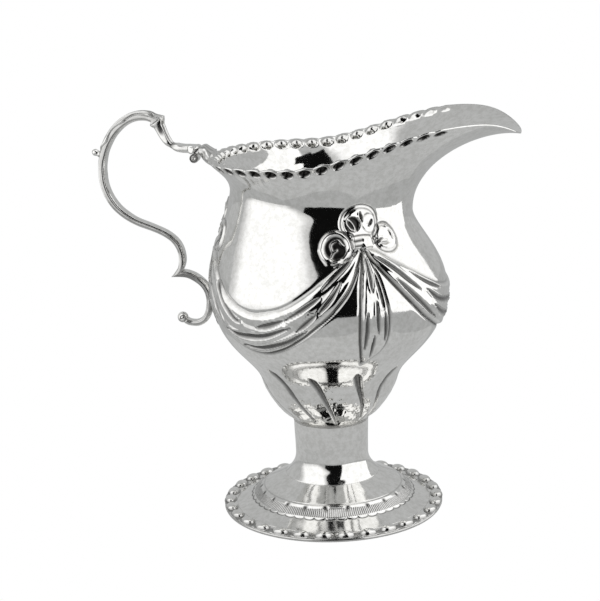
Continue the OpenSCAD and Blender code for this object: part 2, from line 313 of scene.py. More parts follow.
def body_sides(theta):
    """The body's smooth outline at every angle, as [angle, row, (radius, height)]."""
    c = np.cos(np.radians(theta))
    back = (1 - c) / 2
    turn = (theta + 180) % 360 - 180
    flare = np.radians(mix(EDGE_ANGLE, BEAK_ANGLE, np.exp(-(turn / BEAK_SPREAD) ** 2)))
    reach, height = rim_curve(theta)

    def pair(a, b):
        return np.stack([a + 0 * theta, b + 0 * theta], -1)

    foot, waist = pair(JOINT_R, JOINT_Z), pair(WAIST_R, WAIST_Z)
    belly = pair(BELLY_R + BELLY_SWING * c, BELLY_Z)
    neck = pair(mix(NECK_LIP[0], NECK_BACK[0], back), mix(NECK_LIP[1], NECK_BACK[1], back))
    rim = pair(reach, height)
    pull = 0.34 * np.linalg.norm(rim - neck, axis=1)[:, None]
    lean, up = pair(WAIST_LEAN, 1), pair(0, 1)
    curves = [
        (foot, foot + 6.3, waist - 3 * lean, waist),
        (waist, waist + 9.5 * lean, belly - 17.5 * up, belly),
        (belly, belly + 9.5 * up, neck - 5 * up, neck),
        (neck, neck + pull * up, rim - pull * pair(np.cos(flare), np.sin(flare)), rim),
    ]
    rows = []
    for i, (a, b, p, q) in enumerate(curves):
        for t in np.linspace(0, 1, BODY_ROWS[i] + 1)[0 if i == 0 else 1:]:
            s = 1 - t
            rows.append(s ** 3 * a + 3 * s * s * t * b + 3 * s * t * t * p + t ** 3 * q)
    return np.stack(rows, 1)


# Chased work is laid out as (angle, height). Angles run from the handle at -180 to the lip at 0,
# and the other side of the jug mirrors them.
BELLY_SCALE = math.radians(35.5)
BOW_SCALE = math.radians(29.6)
BOW_ANGLE, BOW_Z = -64.0, 89.1
SWAGS = [
    {   # from the side bow to the one behind
        "upper": [(-184, 88), (-170, 85), (-156, 79.4), (-147, 75.3), (-135.4, 71.2), (-123.4, 69),
                  (-112.4, 69.9), (-102.3, 72.3), (-92, 76.6), (-86.5, 79.3), (-71.5, 85.6), (-64, 87.5)],
        "lower": [(-184, 86), (-178, 83), (-166, 72.5), (-156, 66.3), (-147.7, 62.4), (-138.3, 59),
                  (-129.9, 57), (-118.4, 56.4), (-106.9, 58.5), (-97, 62.1), (-88.5, 66.4), (-82.6, 69.6),
                  (-78, 72.7), (-73.5, 76.3), (-68.5, 81.8), (-64.4, 86.8)],
    },
    {   # across the lip side
        "upper": [(-64, 87.6), (-55.8, 86.2), (-48.2, 83.4), (-37.7, 79.6), (-27.4, 76), (-15.7, 73),
                  (0, 71.6), (10, 72.2)],
        "lower": [(-64, 86.8), (-58.5, 82.5), (-52, 77.4), (-45.2, 72.5), (-37.9, 68), (-29.3, 64),
                  (-13.7, 59.6), (0, 58.2), (10, 58.9)],
    },
]
# Each hollow of the folds: its line, half width and depth
HOLLOWS = [
    ([(-119.5, 64.9), (-112, 66.2), (-105, 67.8)], 1.05, 0.55),
    ([(-104, 68), (-96.1, 71), (-87, 74.9)], 0.75, 0.45),
    ([(-141.5, 63.2), (-134, 61.9), (-125.6, 61.9), (-114.7, 62.8), (-101.5, 66)], 1.05, 0.5),
    ([(-131, 58.9), (-123, 58.6), (-115.4, 59.2), (-103.5, 61.6), (-94, 65)], 0.95, 0.45),
    ([(-98.4, 65), (-93.8, 67.4), (-89.4, 69.9)], 0.95, 0.5),
    ([(-88.6, 69.9), (-83.2, 73.7), (-77.6, 78.6)], 0.8, 0.5),
    ([(-87, 76.4), (-79.8, 80.4), (-71.4, 84.2)], 0.85, 0.5),
    ([(-150, 76), (-144, 72.2), (-139.2, 69.5), (-133.2, 66.6), (-128, 65.7)], 0.85, 0.45),
    ([(-158, 74.5), (-151.3, 70.6), (-147.2, 67.2), (-142.2, 64)], 0.7, 0.4),
    ([(-172, 83), (-164, 79.5), (-155, 74)], 0.8, 0.45),
    ([(-174, 80.5), (-166, 75), (-158, 69.5)], 0.7, 0.4),
    ([(-59.6, 84.9), (-50.2, 80.9), (-42.4, 76.6), (-36, 73.4)], 0.85, 0.45),
    ([(-41, 79.1), (-31.7, 75.3), (-20, 72.2)], 0.7, 0.4),
    ([(-32.6, 73.4), (-22.4, 69.4), (-9, 67.4), (0, 67)], 0.95, 0.5),
    ([(-49.6, 77.9), (-39.5, 71.5), (-31, 67), (-24, 64)], 0.9, 0.45),
    ([(-26.4, 68), (-18, 65), (-8, 62.9), (0, 62.4)], 0.85, 0.45),
]
TAIL_LEFT = [(-64.3, 87), (-66.9, 80.7), (-68.4, 75), (-69, 70), (-69.2, 66.9), (-69, 61.7),
             (-67.8, 57), (-66, 53)]
TAIL_RIGHT = [(-62.8, 87), (-58.6, 79.8), (-56.6, 73.8), (-55.2, 69.6), (-54.5, 64.3), (-54.9, 60),
              (-58.1, 56.5), (-66, 53)]
TAIL_HOLLOWS = [
    ([(-63.9, 84.6), (-63.3, 79.4), (-63.3, 75)], 0.75, 0.5),
    ([(-66.2, 69.4), (-66.4, 64.2), (-66.8, 58.6)], 0.7, 0.45),
    ([(-62.4, 63), (-62.9, 59.6), (-63.4, 56.2)], 0.6, 0.4),
    ([(-61.8, 73), (-61.3, 67.6), (-60.6, 63.2)], 0.6, 0.45),
    ([(-61.2, 80.4), (-59.5, 74.9), (-58.4, 70)], 0.65, 0.45),
    ([(-57.9, 69.6), (-57.2, 64.9), (-57.2, 60.8)], 0.6, 0.45),
]
CALYX = [
    [(-163, 45.5), (-156, 39), (-147, 34), (-137, 30.4)],
    [(-128, 48.8), (-121, 42.7), (-110.7, 35), (-104, 30.6)],
    [(-98.2, 47.2), (-92.8, 42.8), (-84.8, 35.5), (-79, 30.6)],
    [(-65.4, 48.2), (-59.6, 42.4), (-50.4, 34.7), (-44, 30.6)],
    [(-29.7, 47.9), (-34.4, 43.6), (-37, 38.9), (-30, 31)],
]
BEAD_PITCH, BEAD_FIRST, BEADS_A_SIDE = 5.1, 2.2, 19


class Relief:
    """Heights above the smooth surface in mm, and how dark the oxide is."""

    def __init__(self, shape):
        self.h = np.zeros(shape)
        self.dark = np.zeros(shape)

    def darken(self, amount):
        self.dark = np.maximum(self.dark, amount)

    def hollow(self, d, along, half, depth, dark):
        wide = half * np.sqrt(np.clip(4 * along * (1 - along), 0.05, 1))
        cup = np.clip(1 - (d / wide) ** 2, 0, 1)
        self.h += -depth * cup + 0.22 * bell(d - wide * 1.15, 0.28) * (along > 0) * (along < 1)
        self.darken(dark * cup ** 0.6)

    def groove(self, d, half, depth, dark):
        self.h -= depth * bell(d, half)
        self.darken(dark * bell(d, half * 0.9))


def oval(u, v, cu, cv, au, av, tilt=0):
    """0 at the centre of an ellipse and 1 on its outline."""
    c, s = math.cos(math.radians(tilt)), math.sin(math.radians(tilt))
    return np.hypot(((u - cu) * c + (v - cv) * s) / au, ((v - cv) * c - (u - cu) * s) / av)


# The bow's lines, in mm from its knot: (points, half width, darkness)
BOW_SLOTS = [
    ([(0.5, 8.2), (0.9, 6.6), (1.2, 4.9)], 0.6, 0.96),
    ([(4.8, 5.8), (4.1, 4.6), (3.1, 3.6)], 0.6, 0.92),
    ([(4.0, -1.0), (5.6, -0.5), (7.3, 0.1)], 0.45, 0.92),
    ([(9.9, 1.8), (10.4, 0.5), (10.6, -0.9)], 0.4, 0.9),
    ([(8.0, 3.2), (8.8, 3.0), (9.6, 2.6)], 0.4, 0.55),
    ([(6.0, -1.2), (7.4, -1.5), (8.9, -1.4)], 0.6, 0.45),
]
KNOT_BANDS = [
    ([(-2.6, 1.3), (0.4, 1.5), (3.0, 1.2)], 0.3),
    ([(-2.1, -0.05), (-1.0, 0.05), (0.1, 0.1)], 0.46),
    ([(-2.0, -1.4), (-1.0, -1.35), (-0.1, -1.3)], 0.4),
    ([(3.1, 1.1), (3.4, 0.1), (3.5, -1.0)], 0.3),
]
LOOP_WIRES = [
    ([(-8.7, -1.9), (-9.0, -0.6), (-8.3, 0.3), (-6.8, 0.7), (-5.8, -0.4), (-4.8, -1.2)], 0.3),
    ([(-7.3, -1.8), (-8.4, -2.6), (-8.9, -3.5), (-9.5, -4.3)], 0.26),
    ([(-12.2, -1.7), (-11.1, -4.2), (-9.5, -5.7), (-7.3, -5.0)], 0.4),
]


def bow(relief, u, v):
    """The tied bow: a rosette of two petals over the knot, and a loop on each side of it."""
    near = (np.abs(u) < 16) & (np.abs(v - 2) < 12)
    if not near.any():
        return
    u, v = u[near], v[near]
    part = Relief(u.shape)

    def bright(mark, height):
        part.h += height * mark
        part.dark *= 1 - 0.95 * np.clip(mark, 0, 1)

    # rosette: the left petal is hollow with a loop in it, the right one is full
    rho = oval(u, v, 0.7, 4.9, 6.2, 5.1)
    part.h += 0.5 * ease((1 - rho) * 4.5)
    part.groove((rho - 1.03) * 5.6, 0.26, 0.3, 0.9)
    part.groove((rho - 0.85) * 5.6, 0.28, 0.3, 0.7)
    petal = oval(u, v, -2.1, 4.65, 2.7, 2.5)
    part.h -= 0.35 * ease((1 - petal) * 2.2)
    part.darken(0.97 * ease((0.98 - petal) * 6))
    bright(bell((petal - 1.06) * 2.6, 0.3), 0.28)
    bright(bell((oval(u, v, -2.7, 4.5, 1.9, 0.78, -55) - 1) * 0.9, 0.2), 0.22)
    part.groove((oval(u, v, 3.7, 4.6, 2.6, 2.5) - 1.06) * 2.5, 0.22, 0.2, 0.5)
    # the left loop is a flat ring, open at the lower right, round a dark hollow
    rho = oval(u, v, -7.7, -1.3, 1, 1)
    gap = ease((35 - np.abs(np.degrees(np.arctan2(v + 1.3, u + 7.7)) + 40)) / 12)
    inside = ease((3.35 - rho) * 2.5)
    part.h -= 0.3 * inside
    part.darken(0.97 * inside)
    part.groove(rho - 4.75, 0.26, 0.25, 0.85)
    bright(bell(rho - 3.95, 0.62) * (1 - gap), 0.6)
    for points, half in LOOP_WIRES:
        bright(bell(line_field(u, v, rounded(points))[0], half), 0.3)
    # the right loop is full, with a few cuts
    rho = oval(u, v, 8.8, 0.2, 4.3, 3.9)
    part.h += 0.55 * ease((1 - rho) * 3.2)
    part.groove((rho - 1.03) * 4.2, 0.26, 0.3, 0.85)
    part.groove((rho - 0.84) * 4.2, 0.2, 0.15, 0.3)
    for points, half, dark in BOW_SLOTS:
        d, along = line_field(u, v, rounded(points))
        part.hollow(d, along, half, 0.4, dark)
    # knot: strands across, dark between them
    inside = ease((3.1 - np.abs(u - 0.4)) * 2.5) * ease((2.0 - np.abs(v + 0.2)) * 2.5)
    part.h = mix(part.h, 0.85, inside)
    part.dark = mix(part.dark, 0.0, inside)
    for points, half in KNOT_BANDS:
        part.groove(line_field(u, v, rounded(points))[0], half, 0.3, 0.97)
    fade = ease((15.5 - np.abs(u)) / 2)
    relief.h[near] += part.h * fade
    relief.dark[near] = np.maximum(relief.dark[near] * (1 - inside), part.dark * fade)


def swag(relief, theta, z, edges):
    u = theta * BELLY_SCALE
    upper, lower = rounded(edges["upper"]), rounded(edges["lower"])
    top = np.interp(theta, upper[:, 0], upper[:, 1], left=-1, right=-1)
    low = np.interp(theta, lower[:, 0], lower[:, 1], left=1e3, right=1e3)
    within = (z < top) & (z > low)
    d_top = line_field(u, z, upper * (BELLY_SCALE, 1))[0]
    d_low = line_field(u, z, lower * (BELLY_SCALE, 1))[0]
    edge = np.minimum(d_top, d_low)
    raised = ease(edge / 1.5) ** 0.7 * within
    share = np.clip((z - low) / np.maximum(top - low, 0.5), 0, 1)
    folds = 0.12 * np.cos(2 * math.pi * share * 3.3 + 0.05 * theta) * raised
    relief.h += 0.85 * raised + folds
    relief.groove(d_low, 0.5, 0.5, 0.98)
    relief.groove(d_top, 0.5, 0.22, 0.4)


def chase(theta, z, across, below):
    """The body's relief. across is the distance along the rim from the handle and below the
    distance down the wall from the edge."""
    relief = Relief(z.shape)
    folded = -np.abs((theta + 180) % 360 - 180)
    u = folded * BELLY_SCALE
    worked = (z > 50) & (z < 90)
    part = Relief(u[worked].shape)
    tw, zw, uw = folded[worked], z[worked], u[worked]
    for edges in SWAGS:
        swag(part, tw, zw, edges)
    for line, half, depth in HOLLOWS:
        d, along = line_field(uw, zw, rounded(line) * (BELLY_SCALE, 1))
        part.hollow(d, along, half, depth, 0.86)
    # tails hang from every knot
    for shift in (0.0, BOW_ANGLE + 180):
        t = tw + shift if shift == 0 else -np.abs(tw + 180) + BOW_ANGLE
        left_line, right_line = rounded(TAIL_LEFT), rounded(TAIL_RIGHT)
        left = np.interp(zw, left_line[::-1, 1], left_line[::-1, 0])
        right = np.interp(zw, right_line[::-1, 1], right_line[::-1, 0])
        within = (t > left) & (t < right) & (zw > 53) & (zw < 87)
        if shift:
            within = (t > left) & (zw > 53) & (zw < 87)
        uu = t * BELLY_SCALE
        d_left = line_field(uu, zw, left_line * (BELLY_SCALE, 1))[0]
        d_right = line_field(uu, zw, right_line * (BELLY_SCALE, 1))[0]
        edge = d_left if shift else np.minimum(d_left, d_right)
        raised = ease(edge / 1.2) * within
        part.h = np.where(within, mix(part.h, 0.95, raised), part.h)
        part.dark = np.where(within, part.dark * (1 - raised), part.dark)
        part.groove(d_left, 0.42, 0.45, 0.98)
        if not shift:
            part.groove(d_right, 0.4, 0.45, 0.97)
        for line, half, depth in TAIL_HOLLOWS:
            if shift and line[0][0] > -63:
                continue
            d, along = line_field(uu, zw, rounded(line) * (BELLY_SCALE, 1))
            part.hollow(d, along, half, depth, 0.86)
    relief.h[worked] = part.h
    relief.dark[worked] = part.dark
    bow(relief, (folded - BOW_ANGLE) * BOW_SCALE, z - BOW_Z)
    bow(relief, -(folded + 180) * BOW_SCALE, z - BOW_Z)
    # leaf-shaped lobes round the calyx, parted by tapering cuts
    low = z < 53
    t_low, z_low = theta[low], z[low]
    part = Relief(z_low.shape)
    nearest = np.full(z_low.shape, 1e3)
    for turn in (0, 180):
        for line in CALYX:
            at = np.array(line, float)
            scale = math.radians(18)
            local = (t_low - turn - at[1, 0] + 180) % 360 - 180 + at[1, 0]
            d, along = line_field(local * scale, z_low, rounded(at) * (scale, 1))
            wide = mix(1.15, 0.4, along) * np.sqrt(np.clip(along * 12 + 0.12, 0, 1))
            part.h -= mix(0.75, 0.3, along) * np.clip(1 - (d / wide) ** 2, 0, 1)
            part.darken(mix(0.88, 0.55, along) * np.clip(1.15 - (d / wide) ** 2, 0, 1))
            nearest = np.minimum(nearest, d)
    lobes = 0.55 * (1 - bell(nearest, 3.0)) * ease((46 - z_low) / 6) * ease((z_low - JOINT_Z) / 3)
    # the punch work between the lobes is left rough
    rough = 0.035 * waviness(t_low * 0.33, z_low, 1.5, 41) + 0.03 * waviness(t_low * 0.33, z_low, 3.1, 42)
    rough *= ease((47 - z_low) / 3) * ease((z_low - JOINT_Z) / 2)
    relief.h[low] += part.h + lobes + rough
    relief.dark[low] = np.maximum(relief.dark[low], part.dark)
    # beads punched up from outside, just under the edge
    near_edge = below < 6
    s, b = across[near_edge], below[near_edge]
    part = Relief(s.shape)
    for k in range(BEADS_A_SIDE):
        at = BEAD_FIRST + BEAD_PITCH * k
        fade = 1 if k < BEADS_A_SIDE - 4 else (BEADS_A_SIDE - k) / 5
        long = 2.0 + 0.3 * (1 - fade)
        q = np.hypot((s - at) / long, (b - 1.7) / (1.5 * (0.6 + 0.4 * fade)))
        part.h -= 1.5 * fade ** 0.7 * ease((1 - q) * 1.25 + 0.1) * (q < 1.1)
        part.darken(0.98 * ease((1.0 - q) * 4))
    relief.h[near_edge] += part.h
    relief.dark[near_edge] = np.maximum(relief.dark[near_edge], part.dark)
    soft = waviness(theta * 0.6, z, 17, 5) * 0.045 + waviness(theta * 0.6, z, 7, 6) * 0.012
    return relief.h + soft, relief.dark


def build_body():
    theta = np.arange(BODY_COLUMNS) * 360 / BODY_COLUMNS
    sides = body_sides(theta)
    c, s = np.cos(np.radians(theta))[:, None], np.sin(np.radians(theta))[:, None]
    smooth = np.stack([sides[..., 0] * c, sides[..., 0] * s, sides[..., 1]], -1)
    normal = normals_of(smooth)
    step = np.linalg.norm(np.diff(smooth, axis=1), axis=2)
    below = np.zeros(smooth.shape[:2])
    below[:, :-1] = np.cumsum(step[:, ::-1], axis=1)[:, ::-1]
    half = BODY_COLUMNS // 2
    edge = smooth[:, -1]
    run = np.concatenate([[0], np.cumsum(np.linalg.norm(np.diff(edge[half:], axis=0), axis=1))])
    across = np.zeros(BODY_COLUMNS)
    across[half:] = run
    across[1:half] = run[1:][::-1]
    across[0] = run[-1] + (run[-1] - run[-2])
    across = np.broadcast_to(across[:, None], below.shape)
    tt = np.broadcast_to(theta[:, None], below.shape)
    h, dark = chase(tt, smooth[..., 2], across, below)
    outer = smooth + normal * h[..., None]
    # a scalloped edge: each bead lifts it, and it dips between them
    beaded = ease((BEAD_FIRST + BEAD_PITCH * (BEADS_A_SIDE - 1) + 3 - across) / 6)
    phase = (across - BEAD_FIRST) / BEAD_PITCH
    scallop = np.sqrt(np.clip(1 - (2 * (phase - np.round(phase))) ** 2, 0, 1)) - 0.62
    lift = 1.25 * scallop * beaded * ease(1 - below / 2.6)
    outer[..., 2] += lift * 0.8
    outer += normal * (lift * 0.55)[..., None]
    final = normals_of(outer)
    inner = (outer - WALL * final)[::2, ::2]
    inner_dark = dark[::2, ::2] * 0.12
    rows = outer.shape[1]
    in_cols, in_rows = inner.shape[:2]
    verts = np.vstack([outer.reshape(-1, 3), inner.reshape(-1, 3)])
    tone = np.concatenate([dark.ravel(), inner_dark.ravel()])
    first_in = outer.shape[0] * rows
    faces = grid_faces(BODY_COLUMNS, rows, close_rows=True, flip=True)
    faces += grid_faces(in_cols, in_rows, first_in, close_rows=True)
    for i in range(in_cols):
        a, b, e = (((2 * i + k) % BODY_COLUMNS) * rows + rows - 1 for k in range(3))
        p, q = (first_in + ((i + k) % in_cols) * in_rows + in_rows - 1 for k in range(2))
        faces += [[a, b, p], [b, q, p], [b, e, q]]
    floor_centre = len(verts)
    verts = np.vstack([verts, [[0, 0, inner[0, 0, 2] - 0.3], [0, 0, JOINT_Z]]])
    tone = np.concatenate([tone, [0, 0]])
    faces += fan([first_in + i * in_rows for i in range(in_cols)], floor_centre)
    faces += fan([i * rows for i in range(BODY_COLUMNS)], floor_centre + 1, flip=True)
    return piece("body_raised_bowl", verts, faces, "body", RAISED, tone)


build_body()

# ---- the pedestal foot ----

STEM_R = 11.3
COVE_TOP, COVE_DROP, COVE_END = 17.0, 2.8, (-2.0, 2.1)
SHOULDER_R, SHOULDER_Z = 14.6, top_of("foot_dome").z
BAND_IN, BAND_OUT, CONE_SAG = (22.0, 6.6), (25.4, 3.7), 0.15
FOOT_R = top_of("foot_border").x
RING_H = top_of("foot_ring").z
BORDER_Z = RING_H + WALL
BORDER_IN = FOOT_R - 4.2
FOOT_BEADS, FOOT_BEAD_R = 30, 1.7
# Marks round the engraved band
DOTS, LINES, SCALLOPS = 22, 242, 48


def even(path, spacing):
    """The same path with points about that far apart."""
    path = np.asarray(path, float)
    run = np.concatenate([[0], np.cumsum(np.linalg.norm(np.diff(path, axis=0), axis=1))])
    at = np.linspace(0, run[-1], max(3, int(run[-1] / spacing) + 1))
    return np.stack([np.interp(at, run, path[:, k]) for k in range(path.shape[1])], -1)


def inset(path, t):
    d = unit(np.gradient(path, axis=0))
    return path + t * np.stack([d[:, 1], -d[:, 0]], -1)


def lathe(name, shown, hidden, columns, node, material, relief=None):
    """A closed ring turned from a shown path, walked from the axis outwards and down, and a
    hidden path back again. relief(theta, r, z) gives heights and darkness on the shown path: oxide, and in
    places painted shade."""
    loop = np.vstack([shown, hidden])
    theta = np.arange(columns) * 360 / columns
    d = unit(np.gradient(shown, axis=0))
    out = np.vstack([np.stack([-d[:, 1], d[:, 0]], -1), np.zeros_like(hidden)])
    tt = np.broadcast_to(theta[:, None], (columns, len(loop)))
    r = np.broadcast_to(loop[:, 0], tt.shape).copy()
    z = np.broadcast_to(loop[:, 1], tt.shape).copy()
    tone = np.zeros(tt.shape)
    if relief:
        h, dark = relief(tt, r, z)
        shown_rows = np.arange(len(loop)) < len(shown)
        h, tone = h * shown_rows, dark * shown_rows
        r, z = r + h * out[:, 0], z + h * out[:, 1]
    c, s = np.cos(np.radians(tt)), np.sin(np.radians(tt))
    points = np.stack([r * c, r * s, z], -1)
    faces = grid_faces(columns, len(loop), close_rows=True, close_cols=True)
    return piece(name, points.reshape(-1, 3), faces, node, material, tone.ravel())


def build_foot():
    shoulder = np.array([SHOULDER_R, SHOULDER_Z])
    side = np.vstack([
        [[JOINT_R, JOINT_Z]],
        bezier([[STEM_R, COVE_TOP], [STEM_R, COVE_TOP - COVE_DROP], shoulder + COVE_END, shoulder], 24),
    ])
    side = even(side, 0.3)
    lathe("stem_pedestal", side, inset(side, WALL)[::-1], 240, "stem", FOOT,
          lambda t, r, z: (0.03 * waviness(t * 0.25, z, 9, 11), 0 * r))

    t = np.linspace(0, 1, 13)[:, None]
    cone = mix(shoulder, np.array(BAND_IN), t)
    cone[:, 1] -= CONE_SAG * np.sin(math.pi * t[:, 0])
    band_out, border = np.array(BAND_OUT), np.array([BORDER_IN, BORDER_Z])
    side = np.vstack([
        cone, bezier([band_out, band_out + (1.6, -0.75), border + (-1.6, 0.6), border], 24),
    ])
    side = even(side, 0.13)

    def engraving(theta, r, z):
        """A bright-cut band: groups of fine radial cuts parted by dots, scalloped round outside."""
        def off(count):
            step = 360 / count
            return np.abs((theta / step) % 1 - 0.5) * step

        h = 0.03 * waviness(theta * 0.45, r, 10, 12)
        dark = np.zeros(r.shape)

        def cut(mark, depth, ink):
            nonlocal h, dark
            h = h - depth * mark
            dark = np.maximum(dark, ink * mark)

        rung = ease((r - 22.6) * 4) * ease((24.9 - r) * 4)
        cut(bell(np.radians(off(LINES)) * 23.7, 0.16) * rung, 0.12, 0.85)
        cut(bell(r - 21.6, 0.2), 0.1, 0.3)
        cut(bell(np.hypot(np.radians(off(DOTS)) * 22.6, r - 22.6), 0.6), 0.2, 0.97)
        arc = np.clip(2 * off(SCALLOPS) * SCALLOPS / 360, 0, 1)
        cut(bell(r - 25.05 - 0.6 * np.sqrt(1 - arc ** 2), 0.17), 0.14, 0.85)
        return h, dark

    lathe("foot_domed_plate", side, inset(side, WALL)[::-1][::3], 1080, "foot_dome",
          FOOT, engraving)

    bead_ring = FOOT_R - FOOT_BEAD_R - 0.3
    side = even([[BORDER_IN, BORDER_Z], [FOOT_R - 0.25, BORDER_Z], [FOOT_R - 0.02, BORDER_Z - 0.22],
                 [FOOT_R - 0.25, RING_H]], 0.12)

    def beads(theta, r, z):
        """Soft broad beads punched up along a scalloped edge, with painted shade round each bead and between
        them.
        """
        step_deg = 360 / FOOT_BEADS
        turn = np.radians(((theta / step_deg) % 1 - 0.5) * step_deg)
        q = np.hypot(turn * bead_ring / (FOOT_BEAD_R * 1.5), (r - bead_ring) / (FOOT_BEAD_R * 1.05))
        flat = z > BORDER_Z - 0.05
        h = 1.25 * np.sqrt(np.clip(1 - q ** 2, 0, None)) * flat - 0.12 * bell(q - 1.05, 0.15) * flat
        corner = np.abs(turn / math.radians(step_deg / 2))
        h = h - (~flat) * 0.6 * corner ** 2.5
        # painted shade: a dark ring round each bead, and the border darkened between them
        between = ease((corner - 0.55) * 3) * ease((r - bead_ring + 1.2) * 1.5)
        return h, np.maximum(0.6 * bell(q - 1.05, 0.14), 0.6 * between) * flat

    lathe("foot_beaded_border", side, np.array([[FOOT_R - 1.2, RING_H], [BORDER_IN, RING_H]]), 1080,
          "foot_border", FOOT, beads)

    side = even([[FOOT_R - 1.9, RING_H], [FOOT_R - 0.45, RING_H], [FOOT_R - 0.2, RING_H * 0.5],
                 [FOOT_R - 0.45, 0.0], [FOOT_R - 1.9, 0.0]], 0.2)
    inside = np.array([[FOOT_R - 1.9, RING_H * 0.3], [FOOT_R - 1.9, RING_H * 0.7]])

    def worn(t, r, z):
        return 0.02 * waviness(t * 0.6, z, 4, 13) * (z > 0.05) * (z < RING_H - 0.05), 0.3 + 0 * r

    lathe("foot_wire_ring", side, inside, 360, "foot_ring", FOOT, worn)

    side = even([[JOINT_R, JOINT_Z + 0.05], [JOINT_R + 0.35, JOINT_Z + 0.28], [JOINT_R + 0.6, JOINT_Z + 0.6],
                 [JOINT_R + 0.25, JOINT_Z + 0.1], [JOINT_R + 0.06, JOINT_Z - 0.6]], 0.1)
    lathe("stem_solder_fillet", side[::-1], np.array([[JOINT_R - 0.1, JOINT_Z + 0.3]]), 240,
          "stem_solder", SOLDER,
          lambda t, r, z: (0.06 * waviness(t * 0.2, z, 2.5, 14), 0.35 + 0 * r))


build_foot()

# ---- the cast handle ----

LEAF_T = 0.6
MAIN = [
    [[-50, 121.3], [-51.2, 122.5], [-53, 122.9], [-55, 122.9]],
    [[-55, 122.9], [-60.8, 122.8], [-67.8, 115.6], [-67.8, 106]],
    [[-67.8, 106], [-67.8, 97.6], [-62.7, 92.7], [-56.7, 90.1]],
    [[-56.7, 90.1], [-51.2, 87.9], [-44.4, 86], [-44.4, 79]],
    [[-44.4, 79], [-44.4, 76.5], [-45, 75], [-46.3, 74.1]],
]
BRACKET = [
    [[-50, 121.3], [-49, 119.6], [-48.4, 117.2], [-47, 115.3]],
    [[-47, 115.3], [-45.7, 113.6], [-43.6, 112.9], [-40.6, 112.9]],
]
COLLAR = [[[-40.6, 112.9], [-39.6, 112.9], [-38.6, 112.6], [-37.4, 112.3]]]
LOWER = [
    [[-46.3, 74.1], [-44.5, 74.5], [-42.8, 74.2], [-41, 73.2]],
    [[-41, 73.2], [-37.8, 71.3], [-36.45, 68.8], [-36.45, 65.8]],
    [[-36.45, 65.8], [-36.45, 61.8], [-37.9, 58.6], [-41.2, 58.5]],
    [[-41.2, 58.5], [-42.6, 58.5], [-43.5, 58.8], [-44.2, 59.4]],
]
CROWN_CUT, SPUR_CUT = (2.1, 1.3), (-1.9, -0.95)


class Strap:
    """A bar swept along a curve in the plane of the handle, with squared sections."""

    def __init__(self, curves, side, thick, wide, steps, first_cut=None, last_cut=None, power=3.0):
        self.path = even(chain(curves, 40), 0.01)
        self.path = even(self.path, steps)
        n = len(self.path)
        self.t = np.linspace(0, 1, n)
        d = unit(np.gradient(self.path, axis=0))
        self.half = (np.interp(self.t, np.linspace(0, 1, len(thick)), thick)[:, None]
                     * side * np.stack([-d[:, 1], d[:, 0]], -1))
        if first_cut is not None:
            blend = ease(1 - self.t * n * steps / 1.6)[:, None]
            self.half = mix(self.half, np.array(first_cut), blend)
        if last_cut is not None:
            blend = ease(1 - (1 - self.t) * n * steps / 1.6)[:, None]
            self.half = mix(self.half, np.array(last_cut), blend)
        self.wide = np.interp(self.t, np.linspace(0, 1, len(wide)), wide)
        self.power = power

    def point(self, t_index, angle, grow=0.0):
        """Points on the section at these stations. angle is from the outer edge, in radians."""
        c, s = np.cos(angle), np.sin(angle)
        k = 2 / self.power
        across = np.sign(c) * np.abs(c) ** k
        aside = np.sign(s) * np.abs(s) ** k
        size = np.linalg.norm(self.half[t_index], axis=-1)
        reach = (1 + grow / size) * across
        centre = self.path[t_index] + reach[..., None] * self.half[t_index]
        y = (self.wide[t_index] + grow) * aside
        return np.stack([centre[..., 0], y, centre[..., 1]], -1)

    def rings(self, corners, relief=None):
        index, turn = np.meshgrid(np.arange(len(self.t)), circle(corners), indexing="ij")
        h = np.zeros(index.shape)
        dark = np.zeros(index.shape)
        if relief:
            h, dark = relief(self.t[index], turn)
        return self.point(index, turn, h), dark


def tube(name, points, dark, node, material, side=1, dome=0.0):
    """Closes a stack of rings into a solid, with its ends bulging by dome."""
    n, k = points.shape[:2]
    first = points[0].mean(0) + dome * unit(points[0].mean(0) - points[1].mean(0))
    last = points[-1].mean(0) + dome * unit(points[-1].mean(0) - points[-2].mean(0))
    verts = np.vstack([points.reshape(-1, 3), [first, last]])
    tone = np.concatenate([dark.ravel(), [dark[0].mean(), dark[-1].mean()]])
    flip = side > 0
    faces = grid_faces(n, k, close_cols=True, flip=flip)
    faces += fan(list(range(k)), n * k, flip=not flip)
    faces += fan([(n - 1) * k + c for c in range(k)], n * k + 1, flip=flip)
    return piece(name, verts, faces, node, material, tone)


